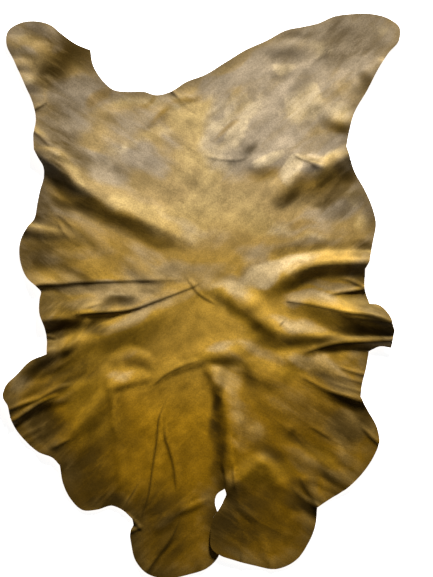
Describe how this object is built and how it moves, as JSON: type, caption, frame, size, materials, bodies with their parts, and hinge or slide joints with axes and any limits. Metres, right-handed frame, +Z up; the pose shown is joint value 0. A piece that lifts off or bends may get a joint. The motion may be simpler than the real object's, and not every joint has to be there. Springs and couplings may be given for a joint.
{
  "type": "leather hide",
  "caption": "Whole tanned hide with shank lobes and a deep neck notch, laid out on a surface with soft folds running in from its flanks.",
  "frame": {"origin": "under the middle of the hide's box, on the surface that it lies on", "axes": "+Z up, from the flesh side to the grain side; +Y along the back towards the neck edge; +X to the right seen from above"},
  "size_m": [0.7155, 1.017, 0.0244],
  "materials": {
    "hide_leather": "antiqued golden brown grain leather, cloudy grey and ochre, with a soft sheen"
  },
  "bodies": {
    "root": {"hide": "hide_leather"}
  },
  "joints": []
}
